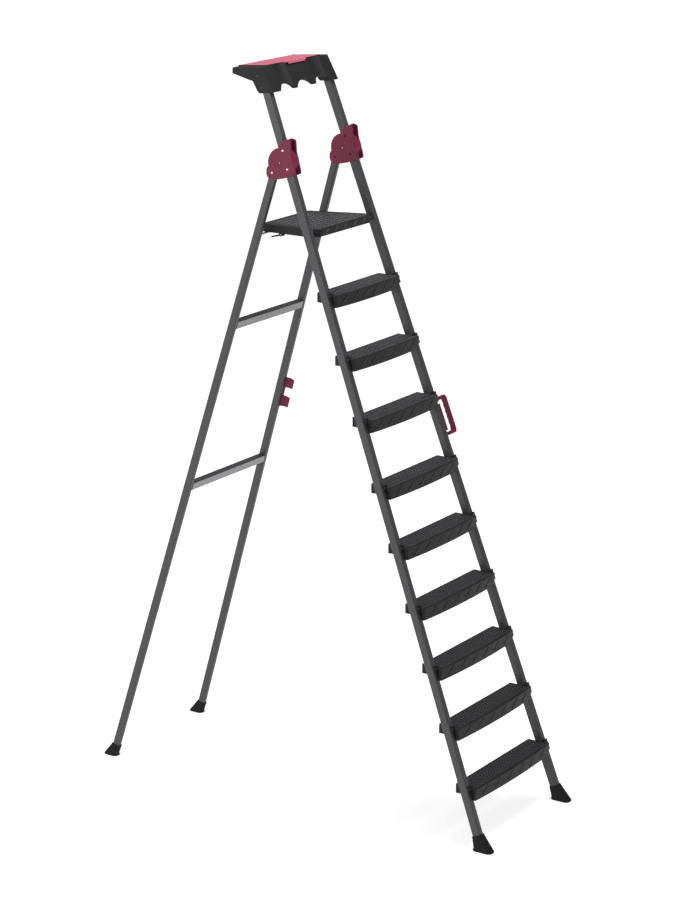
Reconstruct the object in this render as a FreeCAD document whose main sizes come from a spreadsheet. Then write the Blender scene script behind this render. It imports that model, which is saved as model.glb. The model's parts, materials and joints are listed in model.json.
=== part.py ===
import FreeCAD, Part
import math
import os
import Sketcher
from FreeCAD import Placement, Rotation, Vector

# Platform step ladder, in millimetres.  X runs across the ladder (right is +X), Y from the climber's
# side (-Y) to the
# rear legs (+Y), Z up.  The origin lies on the floor in the middle of the four feet.

doc = FreeCAD.newDocument("step_ladder")
sheet = doc.addObject("Spreadsheet::Sheet", "sizes")

DRIVING_SIZES = [
    # rails, legs and the stance
    ("base_spread", 1825.4, "front rail foot to rear leg foot, along Y"),
    ("front_foot", 911.0, "front rail foot in front of the origin"),
    ("rail_lean", 20.34, "front rail lean from vertical, degrees"),
    ("leg_lean", 17.08, "rear leg lean from vertical, degrees"),
    ("rail_half_base", 309.55, "rail centre to middle plane at the floor"),
    ("leg_half_base", 308.45, "rear leg centre to middle plane at the floor"),
    ("rail_splay", 1.943, "front rail splay, degrees"),
    ("leg_splay", 1.983, "rear leg splay, degrees"),
    ("rail_depth", 35.4, "front rail section, front to back"),
    ("rail_width", 28.5, "front rail section, across"),
    ("leg_depth", 32.2, "rear leg section, front to back"),
    ("leg_width", 21.6, "rear leg section, across"),
    ("tube_wall", 1.2, "steel tube wall"),
    ("tube_corner", 5.0, "outer corner radius of the tubes"),
    ("rail_bottom", 14.0, "start of the rail above its foot point, along the rail"),
    ("rail_top_height", 2956.0, "height of the top end of the rails"),
    ("leg_top_drop", 62.0, "rear leg tube ends this far below the hinge pin, along the leg"),
    # treads
    ("riser_height", 230.0, "tread to tread"),
    ("first_tread", 243.5, "height of the first tread top"),
    ("seventh_extra", 23.0, "added to the pitch from tread 7 up"),
    ("eighth_extra", 26.2, "added up to tread 8"),
    ("ninth_extra", 36.6, "added up to tread 9"),
    ("tread_height", 49.6, "height of the tread nose"),
    ("tread_side_height", 39.0, "height of the tread sides and back"),
    ("tread_rear", 48.0, "tread back edge behind the rail centre line"),
    ("nose_end", 47.0, "tread nose in front of the rail centre line, at its ends"),
    ("nose_bulge", 12.0, "how far the middle of the nose stands further out"),
    ("nose_inset", 3.0, "nose end inside the rail centre"),
    ("tread_inset", 15.5, "tread side inside the rail centre, behind the rail"),
    ("tread_skin", 4.0, "wall of the hollow treads and platform"),
    ("fit_gap", 0.2, "gap round a rail or leg inside a moulding"),
    # hinge
    ("pin_y", 85.5, "hinge pin behind the origin"),
    ("pin_height", 2617.0, "height of the hinge pin"),
    ("pin_radius", 3.5, "hinge pin"),
    ("shell_gap", 14.6, "inner face of the hinge shells from the rail's middle plane"),
    ("knuckle_half", 23.0, "half thickness of the knuckle plates"),
    ("disc_half", 20.5, "half thickness of the knuckle disc"),
    ("disc_radius", 60.0, "knuckle disc"),
    ("plate_edge", 1.5, "rounding of the knuckle plates' outer edges"),
    # platform
    ("platform_height", 2362.0, "platform top at its front edge"),
    ("platform_depth", 294.0, "platform, front to back"),
    ("platform_thick", 30.0, "platform height over all"),
    ("platform_tilt", 1.95, "platform falls to the back, degrees"),
    # tray
    ("tray_half", 228.5, "half length of the tool tray"),
    ("tray_top", 2981.0, "front top edge of the tray"),
    ("lid_thick", 3.6, "tray lid"),
    # handle and clip
    ("handle_length", 162.0, "carry handle, along the rail"),
    ("handle_reach", 61.5, "carry handle, out from the rail face"),
    ("handle_height", 1544.6, "height of the carry handle's middle"),
    ("clip_height", 1552.0, "height of the folding clip's middle"),
    ("clip_length", 134.0, "folding clip, along the leg"),
    # braces and feet
    ("brace_upper", 1945.5, "height of the upper brace's middle"),
    ("brace_lower", 1246.0, "height of the lower brace's middle"),
    ("brace_height", 33.0, "brace, along the leg"),
    ("brace_depth", 25.0, "brace, front to back"),
    ("brace_sheet", 2.0, "brace sheet"),
    ("shoe_wall", 2.6, "foot wall round the tube"),
]
for row, (alias, value, note) in enumerate(DRIVING_SIZES, start=1):
    sheet.set(f"A{row}", note)
    sheet.set(f"B{row}", str(value))
    sheet.setAlias(f"B{row}", alias)
doc.recompute()


def size(alias):
    return float(getattr(sheet, alias))


NODES = []


def node(item, name, placement=None):
    """Name an object as a finished sub-part."""
    item.Label = name
    if placement is not None:
        item.Placement = placement
    NODES.append(item)
    return item


# ---------------------------------------------------------------- directions and frames

LEAN = math.radians(size("rail_lean"))
REAR_LEAN = math.radians(size("leg_lean"))
FRONT_FOOT = -size("front_foot")
REAR_FOOT = size("base_spread") - size("front_foot")


def rail_y(z):
    return FRONT_FOOT + z * math.tan(LEAN)


def leg_y(z):
    return REAR_FOOT - z * math.tan(REAR_LEAN)


def rail_x(z):
    return size("rail_half_base") - z * math.tan(math.radians(size("rail_splay")))


def leg_x(z):
    return size("leg_half_base") - z * math.tan(math.radians(size("leg_splay")))


def side_frame(side, z, y, x_at, splay):
    """Frame in a splayed side plane: local X square to it, local Y level, local Z up in the plane."""
    return Placement(Vector(side * x_at(z), y, z), Rotation(Vector(0, 1, 0), -side * size(splay)))


def rail_frame(side, z=0.0):
    """Frame on a front rail's centre line at height z, local Z up the rail, local Y towards the back."""
    frame = side_frame(side, z, rail_y(z), rail_x, "rail_splay")
    lean = math.degrees(math.atan(math.tan(LEAN) * math.cos(math.radians(size("rail_splay")))))
    return frame * Placement(Vector(), Rotation(Vector(1, 0, 0), -lean))


def leg_frame(side, z=0.0):
    """Frame on a rear leg's centre line at height z, local Z up the leg, local Y towards the back."""
    frame = side_frame(side, z, leg_y(z), leg_x, "leg_splay")
    lean = math.degrees(math.atan(math.tan(REAR_LEAN) * math.cos(math.radians(size("leg_splay")))))
    return frame * Placement(Vector(), Rotation(Vector(1, 0, 0), lean))


def along_rail(z):
    """Distance up the rail's centre line from the floor to height z."""
    return z * math.sqrt(1 + math.tan(LEAN) ** 2 + math.tan(math.radians(size("rail_splay"))) ** 2)


def along_leg(z):
    return z * math.sqrt(1 + math.tan(REAR_LEAN) ** 2 + math.tan(math.radians(size("leg_splay"))) ** 2)


def side_name(side):
    return "right" if side > 0 else "left"


# ---------------------------------------------------------------- PartDesign helpers

def new_body(name):
    return doc.addObject("PartDesign::Body", name)


def new_sketch(body, role, name, offset=0.0):
    """Empty sketch on one of the body's own origin planes, moved along its normal by offset."""
    sketch = body.newObject("Sketcher::SketchObject", name)
    plane = next(f for f in body.Origin.OriginFeatures if f.Role == role)
    sketch.AttachmentSupport = [(plane, "")]
    sketch.MapMode = "FlatFace"
    sketch.AttachmentOffset = Placement(Vector(0, 0, offset), Rotation())
    return sketch


def rectangle(sketch, width, height):
    """Rectangle centred on the sketch origin; width and height are sheet expressions."""
    corners = [Vector(-9, -9, 0), Vector(9, -9, 0), Vector(9, 9, 0), Vector(-9, 9, 0)]
    for i in range(4):
        sketch.addGeometry(Part.LineSegment(corners[i], corners[(i + 1) % 4]), False)
    for i in range(4):
        sketch.addConstraint(Sketcher.Constraint("Coincident", i, 2, (i + 1) % 4, 1))
    for i, kind in enumerate(("Horizontal", "Vertical", "Horizontal", "Vertical")):
        sketch.addConstraint(Sketcher.Constraint(kind, i))
    sketch.addConstraint(Sketcher.Constraint("Symmetric", 0, 1, 1, 2, -1, 1))
    sketch.addConstraint(Sketcher.Constraint("DistanceX", 0, 1, 0, 2, 18.0))
    sketch.renameConstraint(sketch.ConstraintCount - 1, "width")
    sketch.addConstraint(Sketcher.Constraint("DistanceY", 1, 1, 1, 2, 18.0))
    sketch.renameConstraint(sketch.ConstraintCount - 1, "height")
    sketch.setExpression("Constraints.width", width)
    sketch.setExpression("Constraints.height", height)


def circle(sketch, radius, x=0.0, y=0.0):
    """Circle about (x, y); radius is a sheet expression."""
    item = sketch.addGeometry(Part.Circle(Vector(x, y, 0), Vector(0, 0, 1), 5.0), False)
    sketch.addConstraint(Sketcher.Constraint("Radius", item, 5.0))
    name = f"radius_{item}"
    sketch.renameConstraint(sketch.ConstraintCount - 1, name)
    sketch.setExpression(f"Constraints.{name}", radius)


def outline(sketch, corners):
    """Closed outline of (x, y, corner radius) points, each rounded corner a tangent arc."""
    count = len(corners)
    runs = []
    for i, (x, y, radius) in enumerate(corners):
        here = Vector(x, y, 0)
        before = Vector(*corners[i - 1][:2], 0)
        after = Vector(*corners[(i + 1) % count][:2], 0)
        if radius <= 0:
            runs.append((here, here, None))
            continue
        to_before = (before - here).normalize()
        to_after = (after - here).normalize()
        half = to_before.getAngle(to_after) / 2
        cut = radius / math.tan(half)
        middle = here + (to_before + to_after).normalize() * (radius / math.sin(half) - radius)
        runs.append((here + to_before * cut, here + to_after * cut, middle))
    for i, (start, end, middle) in enumerate(runs):
        if middle is not None:
            sketch.addGeometry(Part.Arc(start, middle, end), False)
        following = runs[(i + 1) % count][0]
        if end.distanceToPoint(following) > 1e-6:
            sketch.addGeometry(Part.LineSegment(end, following), False)


def pad(body, sketch, name, length, midplane=False, reverse=False):
    """Pad by a sheet expression; the new volume has to be larger than before."""
    feature = body.newObject("PartDesign::Pad", name)
    feature.Profile = sketch
    feature.Midplane = midplane
    feature.Reversed = reverse
    feature.setExpression("Length", length)
    doc.recompute()
    return feature


def pocket(body, sketch, name, length=None, midplane=False, reverse=False):
    """Pocket by a sheet expression, or through all; it raises if it cuts nothing."""
    before = body.Shape.Volume
    feature = body.newObject("PartDesign::Pocket", name)
    feature.Profile = sketch
    feature.Midplane = midplane
    feature.Reversed = reverse
    if length is None:
        feature.Type = "ThroughAll"
    else:
        feature.setExpression("Length", length)
    doc.recompute()
    if body.Shape.Volume > before - 1.0:
        raise RuntimeError(f"{name} cuts nothing")
    return feature


def fillet(body, base, name, radius, chosen):
    """Fillet the edges that chosen(edge) accepts; radius is a sheet expression."""
    edges = [f"Edge{i}" for i, edge in enumerate(base.Shape.Edges, start=1) if chosen(edge)]
    feature = body.newObject("PartDesign::Fillet", name)
    feature.Base = (base, edges)
    feature.setExpression("Radius", radius)
    doc.recompute()
    return feature


def along_z(edge):
    if edge.Curve.TypeId != "Part::GeomLine":
        return False
    return abs(abs(edge.Curve.Direction.z) - 1) < 1e-6


def across_z(face):
    return face.BoundBox.ZLength < 1e-6


# ---------------------------------------------------------------- Part primitives

def box(name, length, width, height, placement):
    """Part::Box centred on its placement in X and Y, and rising from it in Z."""
    item = doc.addObject("Part::Box", name)
    for prop, value in (("Length", length), ("Width", width), ("Height", height)):
        if isinstance(value, str):
            item.setExpression(prop, value)
        else:
            setattr(item, prop, value)
    doc.recompute()
    centre = Vector(-item.Length.Value / 2, -item.Width.Value / 2, 0)
    item.Placement = placement * Placement(centre, Rotation())
    return item


def cylinder(name, radius, height, placement):
    item = doc.addObject("Part::Cylinder", name)
    for prop, value in (("Radius", radius), ("Height", height)):
        if isinstance(value, str):
            item.setExpression(prop, value)
        else:
            setattr(item, prop, value)
    item.Placement = placement
    return item


def cone(name, radius, end_radius, height, placement):
    item = doc.addObject("Part::Cone", name)
    item.Radius1 = radius
    item.Radius2 = end_radius
    item.Height = height
    item.Placement = placement
    return item


def fuse(name, shapes):
    item = doc.addObject("Part::MultiFuse", name)
    item.Shapes = shapes
    item.Refine = True
    return item


def cut(name, base, tool):
    item = doc.addObject("Part::Cut", name)
    item.Base = base
    item.Tool = tool
    item.Refine = True
    return item


def group(name, shapes):
    """Separate solids that share one node."""
    item = doc.addObject("Part::Compound", name)
    item.Links = shapes
    return item


def facing(direction):
    """Rotation that turns local +Z to the given direction."""
    return Rotation(Vector(0, 0, 1), direction)


def along_x(position, direction):
    """Placement at position whose local Z points along +X or -X."""
    return Placement(position, Rotation(Vector(0, 0, 1), Vector(direction, 0, 0)))


def screw(name, head_radius, head_height, shank_radius, shank_length, placement):
    """Countersunk pan screw: the head rises along local +Z, the shank runs along local -Z."""
    shank_start = placement * Placement(Vector(0, 0, -shank_length), Rotation())
    shank = cylinder(name + "_shank", shank_radius, shank_length + head_height / 2, shank_start)
    head = cone(name + "_head", head_radius, head_radius * 0.72, head_height, placement)
    return fuse(name, [shank, head])


# ---------------------------------------------------------------- tubes

def tube(name, width, depth, length, bottom):
    """Rounded rectangular tube along local Z, starting bottom above the local origin."""
    body = new_body(name + "_body")
    section = new_sketch(body, "XY_Plane", name + "_section", bottom)
    rectangle(section, width, depth)
    solid = pad(body, section, name + "_pad", f"{length}")
    rounded = fillet(body, solid, name + "_corners", "sizes.tube_corner", along_z)
    ends = [f"Face{i}" for i, face in enumerate(rounded.Shape.Faces, start=1) if across_z(face)]
    hollow = body.newObject("PartDesign::Thickness", name + "_hollow")
    hollow.Base = (rounded, ends)
    hollow.Reversed = True
    hollow.setExpression("Value", "sizes.tube_wall")
    doc.recompute()
    if hollow.Shape.Volume > rounded.Shape.Volume * 0.5:
        raise RuntimeError(f"{name} is not hollow")
    return body


def rails():
    length = along_rail(size("rail_top_height")) - size("rail_bottom")
    for side in (-1, 1):
        body = tube(f"rail_{side_name(side)}", "sizes.rail_width", "sizes.rail_depth", length,
                    size("rail_bottom"))
        node(body, f"front_rail_{side_name(side)}", rail_frame(side))


def rear_legs():
    length = along_leg(head_height()) - size("leg_top_drop") - size("rail_bottom")
    for side in (-1, 1):
        body = tube(f"leg_{side_name(side)}", "sizes.leg_width", "sizes.leg_depth", length,
                    size("rail_bottom"))
        node(body, f"rear_leg_{side_name(side)}", leg_frame(side))


def pin_place(side, out=0.0):
    """Point on the hinge axis, out from the right or left rail's middle plane."""
    z = size("pin_height")
    return Vector(side * (rail_x(z) + out), size("pin_y"), z)


def head_height():
    """Height where the leg's centre line passes closest to the hinge pin."""
    z = size("pin_height")
    return z + (leg_y(z) - size("pin_y")) * math.sin(REAR_LEAN) * math.cos(REAR_LEAN)


def rail_envelope(name, side, z, reach):
    """Solid the size of a rail plus the fitting gap, reach each way along it from height z."""
    frame = rail_frame(side, z) * Placement(Vector(0, 0, -reach), Rotation())
    return box(name, "sizes.rail_width + 2 * sizes.fit_gap", "sizes.rail_depth + 2 * sizes.fit_gap",
               2 * reach, frame)


# ---------------------------------------------------------------- treads

def tread_heights():
    extra = {7: "seventh_extra", 8: "eighth_extra", 9: "ninth_extra"}
    for number in range(1, 10):
        level = size("first_tread") + (number - 1) * size("riser_height")
        if number in extra:
            level += size(extra[number])
        yield number, level


def bulged_front(sketch, half, end_y, bulge, corner, rest):
    """Outline with a bulged front edge between (-half, end_y) and (half, end_y); rest lists the other
    corners."""
    left = Vector(-half + corner, end_y - 1.0, 0)
    right = Vector(half - corner, end_y - 1.0, 0)
    middle = Vector(0, end_y - bulge, 0)
    sketch.addGeometry(Part.Arc(left, middle, right), False)
    turn = corner * (1 - math.sqrt(0.5))
    right_side = Vector(half, end_y + corner, 0)
    left_side = Vector(-half, end_y + corner, 0)
    sketch.addGeometry(Part.Arc(right, Vector(half - turn, end_y + turn - 0.5, 0), right_side), False)
    chain = [right_side] + [Vector(x, y, 0) for x, y in rest] + [left_side]
    for start, end in zip(chain, chain[1:]):
        sketch.addGeometry(Part.LineSegment(start, end), False)
    sketch.addGeometry(Part.Arc(left_side, Vector(-half + turn, end_y + turn - 0.5, 0), left), False)


def tread(number, level):
    """Moulded tread, hollow underneath, whose nose wraps the front of both rails."""
    half = rail_x(level)
    nose = half - size("nose_inset")
    between = half - size("rail_width") / 2 + 0.6
    back = half - size("tread_inset")
    rear = size("tread_rear")
    name = f"tread_{number}"
    body = new_body(name + "_body")
    plan = new_sketch(body, "XY_Plane", name + "_plan")
    front_step = -size("rail_depth") / 2
    sides = [(nose, front_step), (between, front_step), (between, 17.0), (back, 17.0), (back, rear)]
    mirrored = [(-x, y) for x, y in reversed(sides)]
    bulged_front(plan, nose, -size("nose_end"), size("nose_bulge"), 9.0, sides + mirrored)
    block = pad(body, plan, name + "_block", "sizes.tread_height", reverse=True)

    def upper_nose(edge):
        middle = edge.BoundBox.Center
        return middle.z > -0.01 and edge.BoundBox.YMax < front_step - 0.01 and edge.BoundBox.ZLength < 0.01

    fillet(body, block, name + "_edge", "2.5", upper_nose)
    skin = size("tread_skin")
    lift = new_sketch(body, "YZ_Plane", name + "_lift")
    low = -size("tread_height")
    side_low = -size("tread_side_height")
    outline(lift, [(-32, low - 5, 0), (-20, side_low, 20), (rear + 5, side_low, 0), (rear + 5, low - 5, 0)])
    pocket(body, lift, name + "_lifted", midplane=True)
    inside = new_sketch(body, "XY_Plane", name + "_inside", -skin)
    inner = between - 8.0
    outline(inside, [(-inner, -size("nose_end") + skin - 1, 6), (inner, -size("nose_end") + skin - 1, 6),
                     (inner, rear - skin, 4), (-inner, rear - skin, 4)])
    pocket(body, inside, name + "_hollow", "sizes.tread_height")
    ribs = new_sketch(body, "XY_Plane", name + "_ribs", -1.0)
    for place in (-0.5, 0.0, 0.5):
        x = place * inner
        outline(ribs, [(x - 1.5, -size("nose_end") - 2, 0), (x + 1.5, -size("nose_end") - 2, 0),
                       (x + 1.5, rear - 1, 0), (x - 1.5, rear - 1, 0)])
    pad(body, ribs, name + "_rib_pad", "sizes.tread_side_height - 8", reverse=True)
    body.Placement = Placement(Vector(0, rail_y(level), level), Rotation())
    front = -size("rail_depth") / 2 - size("fit_gap")
    blocks = [body]
    tools = []
    for side in (-1, 1):
        end = f"{name}_{side_name(side)}"
        lug = rail_frame(side, level) * Placement(Vector(0, front - 3.0, -45), Rotation())
        blocks.append(box(end + "_lug", "sizes.rail_width", 6.2, 44, lug))
        tools.append(rail_envelope(end + "_rail", side, level, 90))
    node(cut(name + "_fitted", fuse(name + "_wide", blocks), fuse(name + "_rails", tools)), name)


def treads():
    for number, level in tread_heights():
        tread(number, level)


def tread_rivets():
    """Blind rivets through each tread's lugs into the front faces of the rails."""
    rivets = []
    for number, level in tread_heights():
        for side in (-1, 1):
            front = -size("rail_depth") / 2 - size("fit_gap") - 6.1
            place = rail_frame(side, level) * Placement(Vector(side * 4, front, -12),
                                                        facing(Vector(0, -1, 0)))
            rivets.append(screw(f"rivet_{number}_{side_name(side)}", 4.0, 1.6, 2.4, 12.0, place))
    node(group("rivet_group", rivets), "tread_rivets")


# ---------------------------------------------------------------- hinge knuckles

# Knuckle plate corners as (Y, Z, corner radius) from the hinge pin: foot, hinge lobe, top lobe, front ridge.
KNUCKLE_PLATE = [
    (-53.5, -48, 8), (0.5, -64, 10), (62, -71, 25), (60, -26, 10), (46, -8, 8), (29.5, 7, 10), (3, 61, 14),
    (-7.5, 85, 8), (-28.5, 95, 12), (-49, 90, 10), (-53, 45, 12), (-74, -26, 10), (-75, -39, 7),
]
KNUCKLE_SCREWS = {"top": (-15.1, 49.4), "front": (-38.5, -21.7), "rear": (33.5, -41.0)}


def knuckle_frame(side):
    z = size("pin_height")
    return side_frame(side, z, size("pin_y"), rail_x, "rail_splay")


def knuckle_shell(side, half):
    """One moulded half of a knuckle; half is +1 for the outer shell and -1 for the inner one."""
    which = "outer" if half > 0 else "inner"
    name = f"knuckle_{side_name(side)}_{which}"
    body = new_body(name + "_body")
    away = half * side < 0
    disc = new_sketch(body, "YZ_Plane", name + "_disc")
    circle(disc, "sizes.disc_radius", -6.0, -1.0)
    pad(body, disc, name + "_disc_pad", "sizes.disc_half", reverse=away)
    start = -size("shell_gap") if away else size("shell_gap")
    plate = new_sketch(body, "YZ_Plane", name + "_plate", start)
    outline(plate, KNUCKLE_PLATE)
    slab = pad(body, plate, name + "_slab", "sizes.knuckle_half - sizes.shell_gap", reverse=away)
    reach = size("knuckle_half") - 0.01

    def face_edge(edge):
        return abs(edge.BoundBox.Center.x) > reach

    fillet(body, slab, name + "_ridge", "sizes.plate_edge", face_edge)
    body.Placement = knuckle_frame(side)
    tools = [rail_envelope(name + "_rail", side, size("pin_height"), 160), leg_room(name, side)]
    pin = along_x(pin_place(side, -40), side)
    tools.append(cylinder(name + "_pin_bore", "sizes.pin_radius", 80, pin))
    for spot in KNUCKLE_SCREWS:
        start = knuckle_place(side, spot, -40)
        tools.append(cylinder(f"{name}_{spot}_bore", 2.6, 80, start))
    node(cut(name + "_fitted", body, fuse(name + "_tools", tools)),
         f"hinge_shell_{which}_{side_name(side)}")


def leg_room(name, side):
    """Room between the shells, from the rail's back face backwards, where the head of the rear leg turns."""
    back = size("rail_depth") / 2 + size("fit_gap") / 2
    frame = rail_frame(side, size("pin_height")) * Placement(Vector(0, back + 100, -150), Rotation())
    return box(name + "_room", "2 * sizes.shell_gap", 200, 300, frame)


def knuckle_place(side, spot, out):
    """Axis through a knuckle screw, pointing outwards, out from the rail's middle plane."""
    y, z = KNUCKLE_SCREWS[spot]
    return knuckle_frame(side) * Placement(Vector(side * out, y, z), facing(Vector(side, 0, 0)))


def hinges():
    screws = []
    sleeves = []
    for side in (-1, 1):
        for half in (1, -1):
            knuckle_shell(side, half)
        name = side_name(side)
        for spot in KNUCKLE_SCREWS:
            place = knuckle_place(side, spot, size("knuckle_half"))
            screws.append(screw(f"knuckle_screw_{name}_{spot}", 4.6, 1.6, 2.6, 44.0, place))
        sleeve = cylinder(f"stop_{name}_rod", 5.0, "2 * sizes.shell_gap",
                          knuckle_place(side, "rear", -size("shell_gap")))
        bore = cylinder(f"stop_{name}_bore", 2.6, 60, knuckle_place(side, "rear", -30))
        sleeves.append(cut(f"stop_{name}", sleeve, bore))
        start = along_x(pin_place(side, 1.0 - size("disc_half")), side)
        pin = cylinder(f"pin_{name}", "sizes.pin_radius", "2 * sizes.disc_half - 2", start)
        node(pin, f"hinge_pin_{name}")
    node(group("knuckle_screw_group", screws), "hinge_screws")
    node(group("stop_group", sleeves), "hinge_stop_sleeves")


def hinge_blocks():
    """Block in the head of each rear leg: a plug in the tube and a tongue that turns on the pin and
    meets the stop."""
    for side in (-1, 1):
        name = f"block_{side_name(side)}"
        frame = leg_frame(side, head_height())
        back = (leg_y(size("pin_height")) - size("pin_y")) * math.cos(REAR_LEAN)
        low = -size("leg_top_drop")
        half = size("leg_depth") / 2
        body = new_body(name + "_body")
        side_view = new_sketch(body, "YZ_Plane", name + "_side_view")
        outline(side_view, [(-6.8 - back, low + 4, 3), (-6.8 - back, 1.5, 3), (-1 - back, 9.5, 4),
                            (10 - back, 9.5, 5),
                            (14.5 - back, 0, 5), (14.7 - back, low + 5, 2), (half, low + 2.5, 0),
                            (half, low, 0),
                            (-half, low, 0)])
        pad(body, side_view, name + "_tongue", "sizes.leg_width", midplane=True)
        body.Placement = frame
        plug = box(name + "_plug", "sizes.leg_width - 2 * sizes.tube_wall - 0.2",
                   "sizes.leg_depth - 2 * sizes.tube_wall - 0.2", 38,
                   frame * Placement(Vector(0, 0, low - 38), Rotation()))
        rounded = rounded_box(name + "_rounded", plug, 3.9)
        boss = cylinder(name + "_boss", 6.8, "2 * sizes.shell_gap - 0.6",
                        along_x(pin_place(side, 0.3 - size("shell_gap")), side))
        bore = cylinder(name + "_bore", "sizes.pin_radius + 0.05", 80, along_x(pin_place(side, -40), side))
        node(cut(name + "_bored", fuse(name + "_solid", [body, rounded, boss]), bore),
             f"hinge_block_{side_name(side)}")


def rounded_box(name, base, radius):
    """Fillet the edges of a box that run along its height."""
    item = doc.addObject("Part::Fillet", name)
    item.Base = base
    doc.recompute()
    upright = base.Placement.Rotation.multVec(Vector(0, 0, 1))
    edges = []
    for i, edge in enumerate(base.Shape.Edges, start=1):
        if abs(abs(edge.Curve.Direction.dot(upright)) - 1) < 1e-6:
            edges.append((i, radius, radius))
    item.Edges = edges
    return item


# ---------------------------------------------------------------- platform

PLATFORM_FRONT = -64.0  # front edge of the platform, from the origin
PLATFORM_BOLT = Vector(0, -35.0, 2345.0)
REST_ROD = Vector(0, 202.4, 2317.4)
LATCH_SPOT = Vector(-176, 186, -35)  # latch pin, in the platform's frame


def platform_frame():
    place = Vector(0, PLATFORM_FRONT, size("platform_height"))
    return Placement(place, Rotation(Vector(1, 0, 0), -size("platform_tilt")))


def platform():
    """Moulded deck, hollow underneath, on two bolts in front; two hooks at the back drop over the rest
    rod."""
    body = new_body("deck_body")
    plan = new_sketch(body, "XY_Plane", "deck_plan")
    depth = size("platform_depth")
    outline(plan, [(-178, 0, 14), (178, 0, 14), (203.7, 28, 10), (203.7, 60, 30), (169, depth, 8),
                   (-169, depth, 8),
                   (-203.7, 60, 30), (-203.7, 28, 10)])
    block = pad(body, plan, "deck_block", "sizes.platform_thick", reverse=True)

    def top_edge(edge):
        return edge.BoundBox.ZMin > -0.01

    fillet(body, block, "deck_edge", "2", top_edge)
    skin = size("tread_skin")
    inside = new_sketch(body, "XY_Plane", "deck_inside", -skin)
    inner = 165.0
    for left, right in ((-inner, -85.0), (-81.0, -2.0), (2.0, 81.0), (85.0, inner)):
        for low, high in ((14.0, 98.0), (102.0, 190.0), (194.0, depth - 50)):
            outline(inside, [(left, low, 4), (right, low, 4), (right, high, 4), (left, high, 4)])
    pocket(body, inside, "deck_hollow", "sizes.platform_thick")
    frame = platform_frame()
    body.Placement = frame
    blocks = [body]
    rod = frame.inverse().multVec(REST_ROD)
    under = -size("platform_thick")
    for side in (-1, 1):
        hook = new_body(f"hook_{side_name(side)}_body")
        shape = new_sketch(hook, "YZ_Plane", f"hook_{side_name(side)}_outline")
        outline(shape, [(rod.y - 20, under + 1, 0), (rod.y + 15, under + 1, 0), (rod.y + 14, rod.z - 6, 3),
                        (rod.y + 6.5, rod.z - 7, 2), (rod.y + 5.3, rod.z + 2, 1), (rod.y + 5.3, under, 0),
                        (rod.y - 20, under, 0)])
        pad(hook, shape, f"hook_{side_name(side)}_pad", "30", midplane=True)
        hook.Placement = frame * Placement(Vector(side * 140, 0, 0), Rotation())
        blocks.append(hook)
    for step, x in enumerate((-6.8, 6.8)):
        ear = new_body(f"latch_ear_{step}_body")
        shape = new_sketch(ear, "YZ_Plane", f"latch_ear_{step}_outline")
        outline(shape, [(-7, -6, 4), (7, -6, 4), (9, 6, 0), (-9, 6, 0)])
        pad(ear, shape, f"latch_ear_{step}_pad", "3", midplane=True)
        ear.Placement = frame * Placement(LATCH_SPOT + Vector(x, 0, 0), Rotation())
        blocks.append(ear)
    bolt = cylinder("deck_bolt_bore", 5.05, 460, along_x(PLATFORM_BOLT - Vector(230, 0, 0), 1))
    pin = cylinder("latch_pin_bore", 2.0, 20, frame * along_x(LATCH_SPOT - Vector(10, 0, 0), 1))
    node(cut("deck_bored", fuse("deck_solid", blocks), fuse("deck_tools", [bolt, pin])), "platform_deck")


def platform_bolts():
    """Shouldered bolts from the rails into the platform's sides."""
    bolts = []
    for side in (-1, 1):
        name = f"deck_bolt_{side_name(side)}"
        face = rail_x(PLATFORM_BOLT.z) - size("rail_width") / 2
        spot = Vector(side * (face + 6), PLATFORM_BOLT.y, PLATFORM_BOLT.z)
        shank = cylinder(name + "_shank", 5.0, 34, along_x(spot, -side))
        collar = cylinder(name + "_collar", 8.5, face - 204.3,
                          along_x(spot - Vector(side * 6.3, 0, 0), -side))
        bolts.append(fuse(name, [shank, collar]))
    node(group("deck_bolt_group", bolts), "platform_bolts")


def platform_latch():
    """Thumb lever under the platform's left edge, on its own pin."""
    frame = platform_frame() * Placement(LATCH_SPOT, Rotation())
    body = new_body("latch_body")
    shape = new_sketch(body, "YZ_Plane", "latch_outline")
    outline(shape, [(-5, -4.5, 3), (8, -6, 4), (48, -14, 3), (50, -9, 2), (22, -2, 8), (4.4, 3.9, 2),
                    (-4.4, 3.9, 2)])
    pad(body, shape, "latch_pad", "10", midplane=True)
    bore = new_sketch(body, "YZ_Plane", "latch_bore")
    circle(bore, "2.05")
    pocket(body, bore, "latch_pin_hole", midplane=True)
    node(body, "platform_latch", frame)
    node(cylinder("latch_pin_rod", 2.0, 16, frame * along_x(Vector(-8, 0, 0), 1)), "latch_pin")


def rest_rod():
    half = leg_x(REST_ROD.z) - size("leg_width") / 2 + 1.0
    start = REST_ROD - Vector(half, 0, 0)
    node(cylinder("rest_rod", 5.0, 2 * half, along_x(start, 1)), "platform_rest_rod")


# ---------------------------------------------------------------- tool tray

# Side outline of the tray as (Y, Z, corner radius), Z from the front top edge.
TRAY_SIDE = [
    (175, 0, 3), (314.5, -10.6, 4), (314.5, -34, 5), (236, -54, 8), (219, -57, 0), (196, -96, 8),
    (187, -103, 4),
    (122, -95.5, 3),
]


def tray_slope():
    """Downward slope of the tray's top towards the back, degrees."""
    front, back = TRAY_SIDE[0], TRAY_SIDE[1]
    return math.degrees(math.atan2(front[1] - back[1], back[0] - front[0]))


LID_PIVOT = Vector(0, 309.0, -7.7)  # from the tray's front top edge


def lid_frame():
    """Frame of the lid: local Y runs forwards from the hinge line along the sloping top."""
    place = Vector(0, LID_PIVOT.y, size("tray_top") + LID_PIVOT.z)
    return Placement(place, Rotation(Vector(1, 0, 0), -tray_slope()))


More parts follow.
